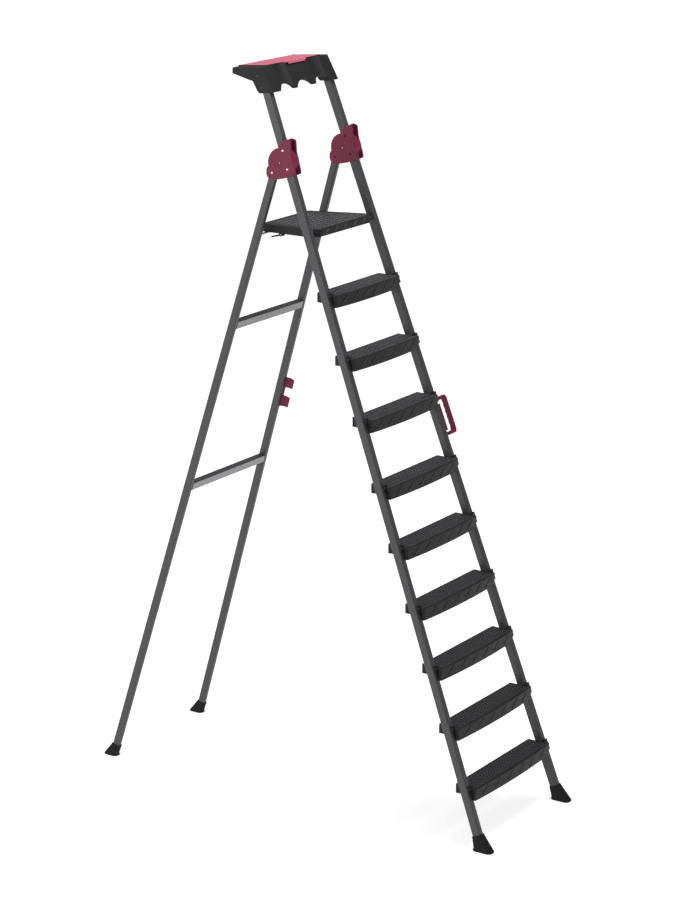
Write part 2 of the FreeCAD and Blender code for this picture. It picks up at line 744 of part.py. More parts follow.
def tray():
    """Tool tray moulding: a compartment on top, a fluted and scalloped skirt in front, pockets for
    both rails."""
    top = size("tray_top")
    body = new_body("tray_moulding")
    side_view = new_sketch(body, "YZ_Plane", "tray_side_view")
    outline(side_view, TRAY_SIDE)
    pad(body, side_view, "tray_block", "2 * sizes.tray_half", midplane=True)
    under = new_sketch(body, "YZ_Plane", "tray_under")
    outline(under, [(171, -36.5, 6), (216, -40, 4), (222, -57.5, 0), (222, -112, 0), (129, -112, 0)])
    pocket(body, under, "tray_hollow", "2 * (sizes.tray_half - 35)", midplane=True)
    well = new_sketch(body, "YZ_Plane", "tray_well")
    outline(well, [(194, 20, 0), (199, -31, 6), (298, -31, 6), (301, 20, 0)])
    pocket(body, well, "tray_compartment", "2 * (sizes.tray_half - 50)", midplane=True)
    body.Placement = Placement(Vector(0, 0, top), Rotation())
    tools = []
    slope = math.degrees(math.atan2(TRAY_SIDE[0][0] - TRAY_SIDE[-1][0], TRAY_SIDE[0][1] - TRAY_SIDE[-1][1]))
    face = Placement(Vector(0, TRAY_SIDE[-1][0], top + TRAY_SIDE[-1][1]), Rotation(Vector(1, 0, 0), -slope))
    for step, x in enumerate((-118.0, 118.0)):
        flute = face * Placement(Vector(x, -99.5, -30.0), Rotation())
        tools.append(cylinder(f"tray_flute_{step}", 108.0, 170, flute))
    for step, (x, radius) in enumerate(((-122.0, 55.8), (0.0, 69.8), (122.0, 55.8))):
        centre = face * Placement(Vector(x, -30.0, 31.0 - radius),
                                  Rotation(Vector(0, 0, 1), Vector(0, 1, 0)))
        tools.append(cylinder(f"tray_scallop_{step}", radius, 62, centre))
    for side in (-1, 1):
        z = size("rail_top_height")
        envelope = box(f"tray_rail_{side_name(side)}", "sizes.rail_width + 2 * sizes.fit_gap",
                       "sizes.rail_depth + 2 * sizes.fit_gap", 150.5,
                       rail_frame(side, z) * Placement(Vector(0, 0, -147.0), Rotation()))
        tools.append(envelope)
    blocks = [body]
    for side in (-1, 1):
        lug = lid_frame() * Placement(Vector(side * 187.5, 0, -6), Rotation())
        blocks.append(box(f"tray_lid_lug_{side_name(side)}", 7, 6, 7.9, lug))
    node(cut("tray_fitted", fuse("tray_solid", blocks), fuse("tray_tools", tools)), "tray_body")


def tray_lid():
    """Lid of the tool compartment, with a finger lip over the front edge and a knuckle at each end of
    the back."""
    body = new_body("lid_body")
    plan = new_sketch(body, "XY_Plane", "lid_plan", -2.0)
    outline(plan, [(-183, 0.5, 0), (-183, -120, 12), (-76, -124, 6), (-64, -143.2, 6), (64, -143.2, 6),
                   (76, -124, 6),
                   (183, -120, 12), (183, 0.5, 0)])
    panel = pad(body, plan, "lid_panel", "sizes.lid_thick")

    def top_edge(edge):
        return edge.BoundBox.ZMin > size("lid_thick") - 2.01

    fillet(body, panel, "lid_edge", "1.2", top_edge)
    lip = new_sketch(body, "XY_Plane", "lid_lip")
    outline(lip, [(-58, -143.2, 2), (58, -143.2, 2), (58, -140.4, 0), (-58, -140.4, 0)])
    pad(body, lip, "lid_lip_pad", "8", reverse=True)
    ears = new_sketch(body, "YZ_Plane", "lid_ears")
    circle(ears, "1.9")
    pad(body, ears, "lid_ear_pad", "366", midplane=True)
    bore = new_sketch(body, "YZ_Plane", "lid_bore")
    circle(bore, "1.05")
    pocket(body, bore, "lid_pin_bore", midplane=True)
    node(body, "tray_lid", lid_frame())
    rod = cylinder("lid_pin_rod", 1.0, 380, lid_frame() * along_x(Vector(-190, 0, 0), 1))
    node(rod, "tray_lid_pin")


def tray_fasteners():
    screws = []
    plugs = []
    for side in (-1, 1):
        for step, (y, down) in enumerate(((176.0, 79.6), (197.0, 36.4))):
            spot = Vector(side * (size("tray_half") - 0.8), y, size("tray_top") - down)
            screws.append(screw(f"tray_screw_{side_name(side)}_{step}", 4.0, 1.4, 2.2, 4.8,
                                along_x(spot, side)))
        z = size("rail_top_height")
        frame = rail_frame(side, z)
        stem = box(f"plug_{side_name(side)}_stem", "sizes.rail_width - 2 * sizes.tube_wall - 0.4",
                   "sizes.rail_depth - 2 * sizes.tube_wall - 0.4", 22,
                   frame * Placement(Vector(0, 0, -20), Rotation()))
        rounded = rounded_box(f"plug_{side_name(side)}_rounded", stem, 3.8)
        cap = box(f"plug_{side_name(side)}_cap", "sizes.rail_width", "sizes.rail_depth", 2.5, frame)
        plugs.append(fuse(f"plug_{side_name(side)}", [rounded, cap]))
    node(group("tray_screw_group", screws), "tray_screws")
    node(group("plug_group", plugs), "rail_end_plugs")


# ---------------------------------------------------------------- carry handle

def handle_frame():
    """Frame on the right rail's outer face: local X outwards and a little forwards, local Z up the rail."""
    face = Vector(size("rail_width") / 2, -9.2, 0)
    return rail_frame(1, size("handle_height")) * Placement(face, Rotation(Vector(0, 0, 1), -8))


def carry_handle():
    """Grip on the right rail's outer face: two arms and a bar with finger waves on its inner side."""
    reach = size("handle_reach")
    half = size("handle_length") / 2
    inner = half - 13.5
    bar = reach - 18
    body = new_body("handle_body")
    shape = new_sketch(body, "XZ_Plane", "handle_outline")
    outline(shape, [(-3, -half, 0), (reach - 6, -half, 9), (reach, -half + 14, 8), (reach, half - 14, 8),
                    (reach - 6, half, 9), (-3, half, 0), (-3, inner, 0), (bar - 1, inner, 8),
                    (bar, inner - 12, 6),
                    (bar, -inner + 12, 6), (bar - 1, -inner, 8), (-3, -inner, 0)])
    block = pad(body, shape, "handle_block", "18", midplane=True)

    def outer_edge(edge):
        outside = edge.BoundBox
        return abs(abs(outside.Center.y) - 9) < 0.01 and outside.XMin > reach - 7.5

    fillet(body, block, "handle_edges", "4", outer_edge)
    waves = new_sketch(body, "XZ_Plane", "handle_waves")
    for place in (-2, -1, 0, 1, 2):
        circle(waves, "18", bar - 16.2, place * inner * 0.34)
    pocket(body, waves, "handle_grip", midplane=True)
    body.Placement = handle_frame()
    node(cut("handle_fitted", body, rail_envelope("handle_rail", 1, size("handle_height"), 120)),
         "carry_handle")
    corner = Vector(size("rail_width") / 2 + size("fit_gap") + 6.0, -9.2, -59)
    seat = rail_frame(1, size("handle_height")) * Placement(corner, Rotation())
    plate = box("handle_plate_box", 12, 16.5, 112, seat)
    node(rounded_box("handle_plate_rounded", plate, 2.5), "handle_base_plate")
    screws = []
    for step, along in enumerate((-40.0, 34.0)):
        spot = Placement(Vector(size("rail_width") / 2 + 12.1, -9.2, along), facing(Vector(1, 0, 0)))
        place = rail_frame(1, size("handle_height")) * spot
        screws.append(screw(f"handle_screw_{step}", 3.8, 1.6, 2.0, 16.0, place))
    node(group("handle_screw_group", screws), "handle_screws")


# ---------------------------------------------------------------- folding clip

# Section of the clip as (X, Y, corner radius) on the leg: lip behind it, plate, step outwards, jaw,
# return in front.
CLIP_SECTION = [
    (1, 18.3, 0), (13.8, 18.3, 3), (13.8, -21, 4), (20.6, -31, 4), (20.6, -49, 1), (18.6, -50.5, 1),
    (16.8, -48, 1),
    (16.8, -32.5, 3), (12.5, -25, 4), (7, -19.5, 3), (2, -19.2, 1), (2, -16.2, 0), (10.9, -16.2, 0),
    (10.9, 16.2, 0),
    (1, 16.2, 0),
]


def folding_clip():
    """Clip on the right rear leg's outer side, whose two jaws pass beside the front rail when folded."""
    frame = leg_frame(1, size("clip_height"))
    half = size("clip_length") / 2
    body = new_body("clip_body")
    section = new_sketch(body, "XY_Plane", "clip_section")
    outline(section, CLIP_SECTION)
    pad(body, section, "clip_pad", "sizes.clip_length", midplane=True)
    gap = new_sketch(body, "YZ_Plane", "clip_gap")
    outline(gap, [(-19.6, -17.8, 4), (-60, -21, 0), (-60, 24, 0), (-19.6, 20.9, 4)])
    outline(gap, [(-28, -half, 0), (-60, -half + 4, 0), (-60, -half - 2, 0), (-28, -half - 2, 0)])
    outline(gap, [(-28, half, 0), (-60, half - 4, 0), (-60, half + 2, 0), (-28, half + 2, 0)])
    pocket(body, gap, "clip_jaws", midplane=True)
    node(body, "folding_clip", frame)
    screws = []
    for step, along in enumerate((-36.0, 36.0)):
        spot = frame * Placement(Vector(13.7, 0, along), facing(Vector(1, 0, 0)))
        screws.append(screw(f"clip_screw_{step}", 3.8, 1.6, 2.0, 6.0, spot))
    node(group("clip_screw_group", screws), "clip_screws")


# ---------------------------------------------------------------- braces

def brace(name, z):
    """Folded sheet channel between the rear legs, its web to the front and open at the back."""
    half = leg_x(z) - size("leg_width") / 2 - 0.1
    taper = math.tan(math.radians(size("leg_splay"))) * size("brace_height") / 2
    body = new_body(name + "_body")
    section = new_sketch(body, "YZ_Plane", name + "_section")
    front = -size("leg_depth") / 2
    back = front + size("brace_depth")
    top = size("brace_height") / 2
    sheet_wall = size("brace_sheet")
    outline(section, [(front, -top, 3), (front, top, 3), (back, top, 0), (back, top - sheet_wall, 0),
                      (front + sheet_wall, top - sheet_wall, 1), (front + sheet_wall, -top + sheet_wall, 1),
                      (back, -top + sheet_wall, 0), (back, -top, 0)])
    pad(body, section, name + "_pad", f"{2 * (half - taper)}", midplane=True)
    frame = Placement(Vector(0, leg_y(z), z), Rotation(Vector(1, 0, 0), size("leg_lean")))
    body.Placement = frame
    ends = []
    for side in (-1, 1):
        tab = box(f"{name}_tab_{side_name(side)}", 3.0, size("brace_depth") - 0.4, size("brace_height") - 1,
                  leg_frame(side, z) * Placement(Vector(-side * (size("leg_width") / 2 + 1.6), -3.6,
                                                        -size("brace_height") / 2 + 0.5), Rotation()))
        ends.append(tab)
    node(fuse(name + "_channel", [body] + ends), name)


def braces():
    rivets = []
    for name, alias in (("rear_brace_upper", "brace_upper"), ("rear_brace_lower", "brace_lower")):
        z = size(alias)
        brace(name, z)
        for side in (-1, 1):
            for step, y in enumerate((-9.0, 2.0)):
                frame = leg_frame(side, z) * Placement(Vector(-side * (size("leg_width") / 2 + 3.2), y,
                                                              2), Rotation())
                turn = Rotation(Vector(0, 0, 1), frame.Rotation.multVec(Vector(-side, 0, 0)))
                rivets.append(screw(f"{name}_rivet_{side_name(side)}_{step}", 3.6, 1.6, 2.0, 8.0,
                                    Placement(frame.Base, turn)))
    node(group("brace_rivet_group", rivets), "brace_rivets")


# ---------------------------------------------------------------- feet

def shoe(name, ground, frame, tube_width, tube_depth, height, toe, heel, flare):
    """Rubber shoe: a loft from a collar square to the tube down to an oval sole on the floor."""
    wall = size("shoe_wall")
    collar_x = tube_width / 2 + wall
    collar_y = tube_depth / 2 + wall
    sections = []
    sections.append(rounded_ring(collar_x, collar_y, 6.0,
                                 frame * Placement(Vector(0, 0, height), Rotation())))
    middle = (heel - toe) / 2
    for z, grow in ((8.0, -2.0), (4.0, 0.0), (0.0, -0.5)):
        place = ground * Placement(Vector(0, middle, z), Rotation())
        sections.append(rounded_ring(flare + grow, (toe + heel) / 2 + grow, flare * 0.8, place))
    block = Part.makeLoft(sections, True, True)
    hole = doc.getObject(name + "_tube_room")
    item = doc.addObject("Part::Feature", name)
    item.Shape = block.cut(hole.Shape)
    return item


def rounded_ring(half_x, half_y, radius, placement):
    """Closed wire of a rounded rectangle in the placement's XY plane."""
    corner = min(radius, half_x - 0.5, half_y - 0.5)
    points = []
    bend = corner * (1 - math.sqrt(0.5))
    for sx, sy in ((1, -1), (1, 1), (-1, 1), (-1, -1)):
        first = Vector(sx * (half_x - corner), sy * half_y, 0)
        second = Vector(sx * half_x, sy * (half_y - corner), 0)
        middle = Vector(sx * (half_x - bend), sy * (half_y - bend), 0)
        points.append((first, middle, second) if sx * sy < 0 else (second, middle, first))
    edges = []
    for i, (start, middle, end) in enumerate(points):
        edges.append(Part.Arc(start, middle, end).toShape())
        edges.append(Part.makeLine(end, points[(i + 1) % 4][0]))
    wire = Part.Wire(edges)
    wire.Placement = placement
    return wire


def feet():
    for side in (-1, 1):
        for which, frame, tube_kind, toe, heel, flare, out in (
                ("front", rail_frame(side), "rail", 50.0, 36.0, 24.0, 2.45),
                ("rear", leg_frame(side), "leg", 22.4, 46.6, 20.0, -1.5)):
            name = f"{which}_shoe_{side_name(side)}"
            room = box(name + "_tube_room", f"sizes.{tube_kind}_width + 0.2",
                       f"sizes.{tube_kind}_depth + 0.2", 120,
                       frame * Placement(Vector(0, 0, size("rail_bottom") - 0.3), Rotation()))
            room.Label = name + "_tube_room"
            doc.recompute()
            height = 64.0 if which == "front" else 54.0
            ground = Placement(frame.Base + Vector(side * out, 0, 0), Rotation())
            width = size(f"{tube_kind}_width")
            depth = size(f"{tube_kind}_depth")
            item = shoe(name, ground, frame, width, depth, height, toe, heel, flare)
            node(item, f"{which}_foot_{side_name(side)}")


# ---------------------------------------------------------------- build and write

rails()
rear_legs()
treads()
tread_rivets()
hinges()
hinge_blocks()
platform()
platform_bolts()
platform_latch()
rest_rod()
tray()
tray_lid()
tray_fasteners()
carry_handle()
folding_clip()
braces()
feet()
doc.recompute()

for item in doc.Objects:
    if "Invalid" in item.State or "Error" in item.State:
        raise RuntimeError(f"{item.Name} failed: {item.State}")
os.makedirs("parts", exist_ok=True)
for item in NODES:
    shape = item.Shape
    if shape.isNull() or not shape.isValid() or not shape.Solids:
        raise RuntimeError(f"{item.Label} has no valid solid")
for item in NODES:
    item.Shape.exportStep(f"parts/{item.Label}.step")
    print(item.Label, "solids", len(item.Shape.Solids), "volume", round(item.Shape.Volume))
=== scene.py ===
"""Visual model of a folding platform step ladder, laid out as an add-on."""

import json
from math import atan2, cos, pi, radians, sin, sqrt, tan

import bmesh
import bpy
from bpy.props import FloatProperty, FloatVectorProperty, IntProperty, PointerProperty
from mathutils import Euler, Matrix, Vector


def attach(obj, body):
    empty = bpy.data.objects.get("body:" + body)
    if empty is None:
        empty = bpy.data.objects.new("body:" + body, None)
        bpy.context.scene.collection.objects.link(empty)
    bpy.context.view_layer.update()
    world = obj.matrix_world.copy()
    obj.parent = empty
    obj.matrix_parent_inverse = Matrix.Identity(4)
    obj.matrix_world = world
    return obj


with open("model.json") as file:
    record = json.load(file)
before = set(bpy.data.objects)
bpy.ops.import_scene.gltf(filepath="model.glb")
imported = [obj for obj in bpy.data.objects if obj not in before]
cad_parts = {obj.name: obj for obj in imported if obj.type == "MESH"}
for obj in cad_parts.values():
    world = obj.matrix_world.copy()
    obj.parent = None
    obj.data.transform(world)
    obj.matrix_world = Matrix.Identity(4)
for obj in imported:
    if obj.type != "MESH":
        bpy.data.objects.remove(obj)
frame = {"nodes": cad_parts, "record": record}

bl_info = {
    "name": "Platform Step Ladder",
    "version": (1, 0, 0),
    "blender": (4, 5, 0),
    "location": "View3D > Sidebar > Ladder",
    "description": "Dresses the jointed step ladder with moulded detail, materials and a studio stage",
    "category": "Object",
}

# Metres throughout.  X runs across the ladder, Y from the climbing side to the rear legs, Z up.
RAIL_LEAN = radians(20.34)
LEG_LEAN = radians(17.08)
RAIL_SPLAY = radians(1.943)
LEG_SPLAY = radians(1.983)
FRONT_FOOT = -0.911
REAR_FOOT = 0.9144
RAIL_FOOT_X = 0.30955
LEG_FOOT_X = 0.30845
TREAD_LEVELS = [0.2435, 0.4735, 0.7035, 0.9335, 1.1635, 1.3935, 1.6465, 1.8797, 2.1201]
PLATFORM_LEVEL = 2.362
PLATFORM_FRONT = -0.064
PLATFORM_TILT = radians(1.95)
PLATFORM_DEPTH = 0.294
PIN = Vector((0.0, 0.0855, 2.617))
KNUCKLE_HALF = 0.023
KNUCKLE_SCREWS = [(-0.0151, 0.0494), (-0.0385, -0.0217), (0.0335, -0.0410)]
TRAY_TOP = 2.981
TRAY_SLOPE = atan2(0.011, 0.145)


def rail_y(z):
    """Y of the front rails' centre lines at height z."""
    return FRONT_FOOT + z * tan(RAIL_LEAN)


def rail_x(z):
    """Distance of the front rails' centre lines from the middle at height z."""
    return RAIL_FOOT_X - z * tan(RAIL_SPLAY)


def leg_y(z):
    """Y of the rear legs' centre lines at height z."""
    return REAR_FOOT - z * tan(LEG_LEAN)


def leg_x(z):
    """Distance of the rear legs' centre lines from the middle at height z."""
    return LEG_FOOT_X - z * tan(LEG_SPLAY)


# ---------------------------------------------------------------- settings


class LadderTreads(bpy.types.PropertyGroup):
    """Grip pattern and nose slots of the treads"""

    ridge_length: FloatProperty(
        name="Ridge length", description="Length of one grip ridge", default=0.017, min=0.004, unit="LENGTH"
    )
    ridge_width: FloatProperty(
        name="Ridge width", description="Width of one grip ridge", default=0.0032, min=0.001, unit="LENGTH"
    )
    ridge_height: FloatProperty(
        name="Ridge height", description="How far a ridge stands up", default=0.0013, min=0.0002, unit="LENGTH"
    )
    column_pitch: FloatProperty(
        name="Column pitch", description="Distance between ridges across the tread",
        default=0.0185, unit="LENGTH"
    )
    row_pitch: FloatProperty(
        name="Row pitch", description="Distance between rows, front to back", default=0.0145, unit="LENGTH"
    )
    nose_slots: IntProperty(name="Nose slots", description="Slanted slots on each nose", default=6, min=0)


class LadderLook(bpy.types.PropertyGroup):
    """Colours and wear of the ladder's materials"""

    paint: FloatVectorProperty(
        name="Frame paint", description="Powder coat on the tubes", subtype="COLOR",
        default=(0.044, 0.044, 0.049)
    )
    # The lighter brace front is a painted highlight: colour standing in for light on the forward faces, not a second
    # paint.
    brace_front_highlight: FloatVectorProperty(
        name="Brace paint", description="Lighter front of the braces", subtype="COLOR",
        default=(0.26, 0.26, 0.27)
    )
    plastic: FloatVectorProperty(
        name="Black plastic", description="Treads, platform and tray", subtype="COLOR",
        default=(0.0075, 0.0075, 0.0085)
    )
    burgundy: FloatVectorProperty(
        name="Burgundy plastic", description="Knuckles, handle and clip", subtype="COLOR",
        default=(0.135, 0.011, 0.034)
    )
    lid: FloatVectorProperty(
        name="Lid plastic", description="Lid of the tool tray", subtype="COLOR", default=(0.47, 0.088, 0.150)
    )
    rubber: FloatVectorProperty(
        name="Rubber", description="Feet", subtype="COLOR", default=(0.0075, 0.0075, 0.008)
    )
    steel: FloatVectorProperty(
        name="Zinc", description="Screws, rivets and pins", subtype="COLOR", default=(0.62, 0.62, 0.64)
    )
    edge_wear: FloatProperty(
        name="Edge wear", description="Strength of the lighter worn edges", default=0.35, min=0.0, max=1.0
    )


class LadderStage(bpy.types.PropertyGroup):
    """Floor, lights and camera"""

    key_power: FloatProperty(
        name="Key light", description="Power of the large side light", default=120.0, unit="POWER"
    )
    top_power: FloatProperty(
        name="Top light", description="Power of the light above", default=130.0, unit="POWER"
    )
    fill_level: FloatProperty(name="Surround", description="Brightness of the white surround", default=0.42)
    lens: FloatProperty(name="Lens", description="Camera focal length, millimetres", default=111.5)


# ---------------------------------------------------------------- materials


def add(tree, kind, x, y, **values):
    """Node of that kind at (x, y); values set its own properties."""
    item = tree.nodes.new(kind)
    item.location = (x, y)
    for key, value in values.items():
        setattr(item, key, value)
    return item


def mix_colour(tree, x, y, factor, first, second, blend="MIX"):
    """Colour mix of sockets or plain colours; returns its output."""
    item = add(tree, "ShaderNodeMix", x, y, data_type="RGBA", blend_type=blend)
    for index, value in ((0, factor), (6, first), (7, second)):
        if isinstance(value, bpy.types.NodeSocket):
            tree.links.new(value, item.inputs[index])
        else:
            item.inputs[index].default_value = value
    return item.outputs[2]


def edge_group():
    """Node group that turns sharp edges into a broken 0 to 1 mask."""
    tree = bpy.data.node_groups.new("ladder_edges", "ShaderNodeTree")
    tree.interface.new_socket("Radius", in_out="INPUT", socket_type="NodeSocketFloat")
    tree.interface.new_socket("Coordinates", in_out="INPUT", socket_type="NodeSocketVector")
    tree.interface.new_socket("Mask", in_out="OUTPUT", socket_type="NodeSocketFloat")
    source = add(tree, "NodeGroupInput", -800, 0)
    bevel = add(tree, "ShaderNodeBevel", -600, 120, samples=4)
    geometry = add(tree, "ShaderNodeNewGeometry", -600, -60)
    dot = add(tree, "ShaderNodeVectorMath", -400, 60, operation="DOT_PRODUCT")
    spread = add(tree, "ShaderNodeMapRange", -220, 60)
    spread.inputs["From Min"].default_value = 0.995
    spread.inputs["From Max"].default_value = 0.86
    breakup = add(tree, "ShaderNodeTexNoise", -400, -220)
    breakup.inputs["Scale"].default_value = 55.0
    breakup.inputs["Detail"].default_value = 4.0
    ramp = add(tree, "ShaderNodeMapRange", -220, -220)
    ramp.inputs["From Min"].default_value = 0.42
    ramp.inputs["From Max"].default_value = 0.62
    both = add(tree, "ShaderNodeMath", -40, 0, operation="MULTIPLY")
    sink = add(tree, "NodeGroupOutput", 140, 0)
    tree.links.new(source.outputs["Radius"], bevel.inputs["Radius"])
    tree.links.new(bevel.outputs[0], dot.inputs[0])
    tree.links.new(geometry.outputs["Normal"], dot.inputs[1])
    tree.links.new(dot.outputs["Value"], spread.inputs["Value"])
    tree.links.new(source.outputs["Coordinates"], breakup.inputs["Vector"])
    tree.links.new(breakup.outputs[0], ramp.inputs["Value"])
    tree.links.new(spread.outputs[0], both.inputs[0])
    tree.links.new(ramp.outputs[0], both.inputs[1])
    tree.links.new(both.outputs[0], sink.inputs["Mask"])
    return tree


def grain_group():
    """Node group with slow colour drift, roughness drift, fine bump and dust lying on upward faces."""
    tree = bpy.data.node_groups.new("ladder_grain", "ShaderNodeTree")
    tree.interface.new_socket("Coordinates", in_out="INPUT", socket_type="NodeSocketVector")
    tree.interface.new_socket("Fine Scale", in_out="INPUT", socket_type="NodeSocketFloat")
    for name in ("Drift", "Smudge", "Height", "Dust"):
        tree.interface.new_socket(name, in_out="OUTPUT", socket_type="NodeSocketFloat")
    source = add(tree, "NodeGroupInput", -800, 0)
    sink = add(tree, "NodeGroupOutput", 300, 0)
    drift = add(tree, "ShaderNodeTexNoise", -500, 300)
    drift.inputs["Scale"].default_value = 3.5
    drift.inputs["Detail"].default_value = 6.0
    smudge = add(tree, "ShaderNodeTexNoise", -500, 80)
    smudge.inputs["Scale"].default_value = 22.0
    smudge.inputs["Detail"].default_value = 5.0
    smudge.inputs["Distortion"].default_value = 0.6
    fine = add(tree, "ShaderNodeTexNoise", -500, -140)
    fine.inputs["Detail"].default_value = 3.0
    geometry = add(tree, "ShaderNodeNewGeometry", -500, -360)
    split = add(tree, "ShaderNodeSeparateXYZ", -320, -360)
    upward = add(tree, "ShaderNodeMapRange", -140, -360)
    upward.inputs["From Min"].default_value = 0.55
    upward.inputs["From Max"].default_value = 1.0
    dusty = add(tree, "ShaderNodeMath", 80, -300, operation="MULTIPLY")
    for item in (drift, smudge, fine):
        tree.links.new(source.outputs["Coordinates"], item.inputs["Vector"])
    tree.links.new(source.outputs["Fine Scale"], fine.inputs["Scale"])
    tree.links.new(geometry.outputs["Normal"], split.inputs[0])
    tree.links.new(split.outputs["Z"], upward.inputs["Value"])
    tree.links.new(upward.outputs[0], dusty.inputs[0])
    tree.links.new(smudge.outputs[0], dusty.inputs[1])
    tree.links.new(drift.outputs[0], sink.inputs["Drift"])
    tree.links.new(smudge.outputs[0], sink.inputs["Smudge"])
    tree.links.new(fine.outputs[0], sink.inputs["Height"])
    tree.links.new(dusty.outputs[0], sink.inputs["Dust"])
    return tree


def surface(name, colour, roughness, wear, metallic=0.0, drift=0.12, fine=900.0, bump=0.00006,
            coat=0.0, edge=None,
            dust=0.05, front=None, gloss=0.22):
    """Procedural material; edge is the colour of worn edges, front a lighter colour painted on faces that look
    forwards, a painted highlight.
    """
    material = bpy.data.materials.new(name)
    material.use_nodes = True
    tree = material.node_tree
    tree.nodes.clear()
    out = add(tree, "ShaderNodeOutputMaterial", 900, 0)
    shader = add(tree, "ShaderNodeBsdfPrincipled", 600, 0)
    coordinates = add(tree, "ShaderNodeTexCoord", -900, 0)
    grain = add(tree, "ShaderNodeGroup", -600, 100)
    grain.node_tree = bpy.data.node_groups["ladder_grain"]
    grain.inputs["Fine Scale"].default_value = fine
    edges = add(tree, "ShaderNodeGroup", -600, -200)
    edges.node_tree = bpy.data.node_groups["ladder_edges"]
    edges.inputs["Radius"].default_value = 0.0009
    for group in (grain, edges):
        tree.links.new(coordinates.outputs["Object"], group.inputs["Coordinates"])
    dark = [c * (1.0 - drift) for c in colour] + [1.0]
    light = [min(1.0, c * (1.0 + drift)) for c in colour] + [1.0]
    base = mix_colour(tree, -300, 250, grain.outputs["Drift"], dark, light)
    # Faces that look forwards blend to the front colour: a painted highlight chosen by face direction.
    if front is not None:
        split = add(tree, "ShaderNodeSeparateXYZ", -500, 420)
        tree.links.new(coordinates.outputs["Normal"], split.inputs[0])
        lit_front_mask = add(tree, "ShaderNodeMapRange", -320, 420)
        lit_front_mask.inputs["From Min"].default_value = -0.8
        lit_front_mask.inputs["From Max"].default_value = -0.95
        tree.links.new(split.outputs["Y"], lit_front_mask.inputs["Value"])
        base = mix_colour(tree, -140, 350, lit_front_mask.outputs[0], base, list(front) + [1.0])
    pale = [min(1.0, c * 0.5 + 0.16) for c in colour] + [1.0]
    dusted = add(tree, "ShaderNodeMath", -100, 120, operation="MULTIPLY")
    dusted.inputs[1].default_value = dust
    tree.links.new(grain.outputs["Dust"], dusted.inputs[0])
    base = mix_colour(tree, 60, 250, dusted.outputs[0], base, pale)
    worn = add(tree, "ShaderNodeMath", -100, -200, operation="MULTIPLY")
    worn.inputs[1].default_value = wear
    tree.links.new(edges.outputs["Mask"], worn.inputs[0])
    edge_colour = list(edge if edge is not None else [min(1.0, c * 1.5 + 0.04) for c in colour]) + [1.0]
    base = mix_colour(tree, 250, 200, worn.outputs[0], base, edge_colour)
    rough = add(tree, "ShaderNodeMapRange", -100, -20)
    rough.inputs["To Min"].default_value = roughness - 0.08
    rough.inputs["To Max"].default_value = roughness + 0.10
    tree.links.new(grain.outputs["Smudge"], rough.inputs["Value"])
    relief = add(tree, "ShaderNodeBump", 300, -300)
    relief.inputs["Distance"].default_value = bump
    relief.inputs["Strength"].default_value = 0.8
    tree.links.new(grain.outputs["Height"], relief.inputs["Height"])
    tree.links.new(base, shader.inputs["Base Color"])
    tree.links.new(rough.outputs[0], shader.inputs["Roughness"])
    tree.links.new(relief.outputs["Normal"], shader.inputs["Normal"])
    shader.inputs["Metallic"].default_value = metallic
    shader.inputs["Specular IOR Level"].default_value = gloss
    shader.inputs["Coat Weight"].default_value = coat
    shader.inputs["Coat Roughness"].default_value = 0.25
    tree.links.new(shader.outputs[0], out.inputs["Surface"])
    return material


SLOT_MATERIALS = {
    "frame_paint": "paint_dark",
    "black_plastic": "plastic_black",
    "foot_rubber": "rubber_black",
    "burgundy_plastic": "plastic_burgundy",
    "lid_plastic": "plastic_lid",
    "bright_steel": "steel_zinc",
}


class LADDER_OT_materials(bpy.types.Operator):
    """Make the procedural materials and put them on the jointed parts"""

    bl_idname = "ladder.materials"
    bl_label = "Materials"

    def execute(self, context):
        look = context.scene.ladder_look
        edge_group()
        grain_group()
        wear = look.edge_wear
        surface("paint_dark", look.paint, 0.38, wear, coat=0.15, fine=1400, edge=(0.12, 0.12, 0.125), gloss=0.3)
        # Brace material: dark paint with a painted highlight on the forward faces.
        surface("paint_brace_lit_front", look.paint, 0.40, wear, coat=0.15, fine=1400, front=look.brace_front_highlight, gloss=0.3)
        surface("plastic_black", look.plastic, 0.52, wear, fine=1100, bump=0.00009)
        # Darker than the black plastic: painted shade for the nose slots and screw wells, standing in for shaded
        # recesses.
        surface("plastic_groove_shade", [c * 0.35 for c in look.plastic], 0.7, 0.0, fine=1100)
        # Lighter than the black plastic: painted glints on the grip ridges and slot lips, standing in for light
        # catching them.
        surface("plastic_ridge_glint", [c * 8.0 for c in look.plastic], 0.42, wear, fine=1100, gloss=0.5)
        surface("plastic_slash", (0.10, 0.10, 0.105), 0.55, wear, fine=1100)
        surface("rubber_black", look.rubber, 0.78, wear * 0.6, fine=700, bump=0.00012, dust=0.08)
        surface("plastic_burgundy", look.burgundy, 0.42, wear, fine=1300, drift=0.10, edge=(0.24, 0.045, 0.085))
        surface("plastic_lid", look.lid, 0.45, wear, fine=1300, drift=0.07, edge=(0.65, 0.25, 0.33), gloss=0.4)
        surface("steel_zinc", look.steel, 0.30, wear, metallic=1.0, drift=0.18, fine=500, edge=(0.8,
                0.8, 0.8), gloss=0.5)
        for entry in frame["record"]["subparts"]:
            name = entry["node"]
            wanted = SLOT_MATERIALS[entry["material_slot"]]
            # The braces get the material with the painted highlight on their forward faces.
            if name.startswith("rear_brace"):
                wanted = "paint_brace_lit_front"
            mesh = frame["nodes"][name].data
            mesh.materials.clear()
            mesh.materials.append(bpy.data.materials[wanted])
        return {"FINISHED"}


# ---------------------------------------------------------------- building helpers


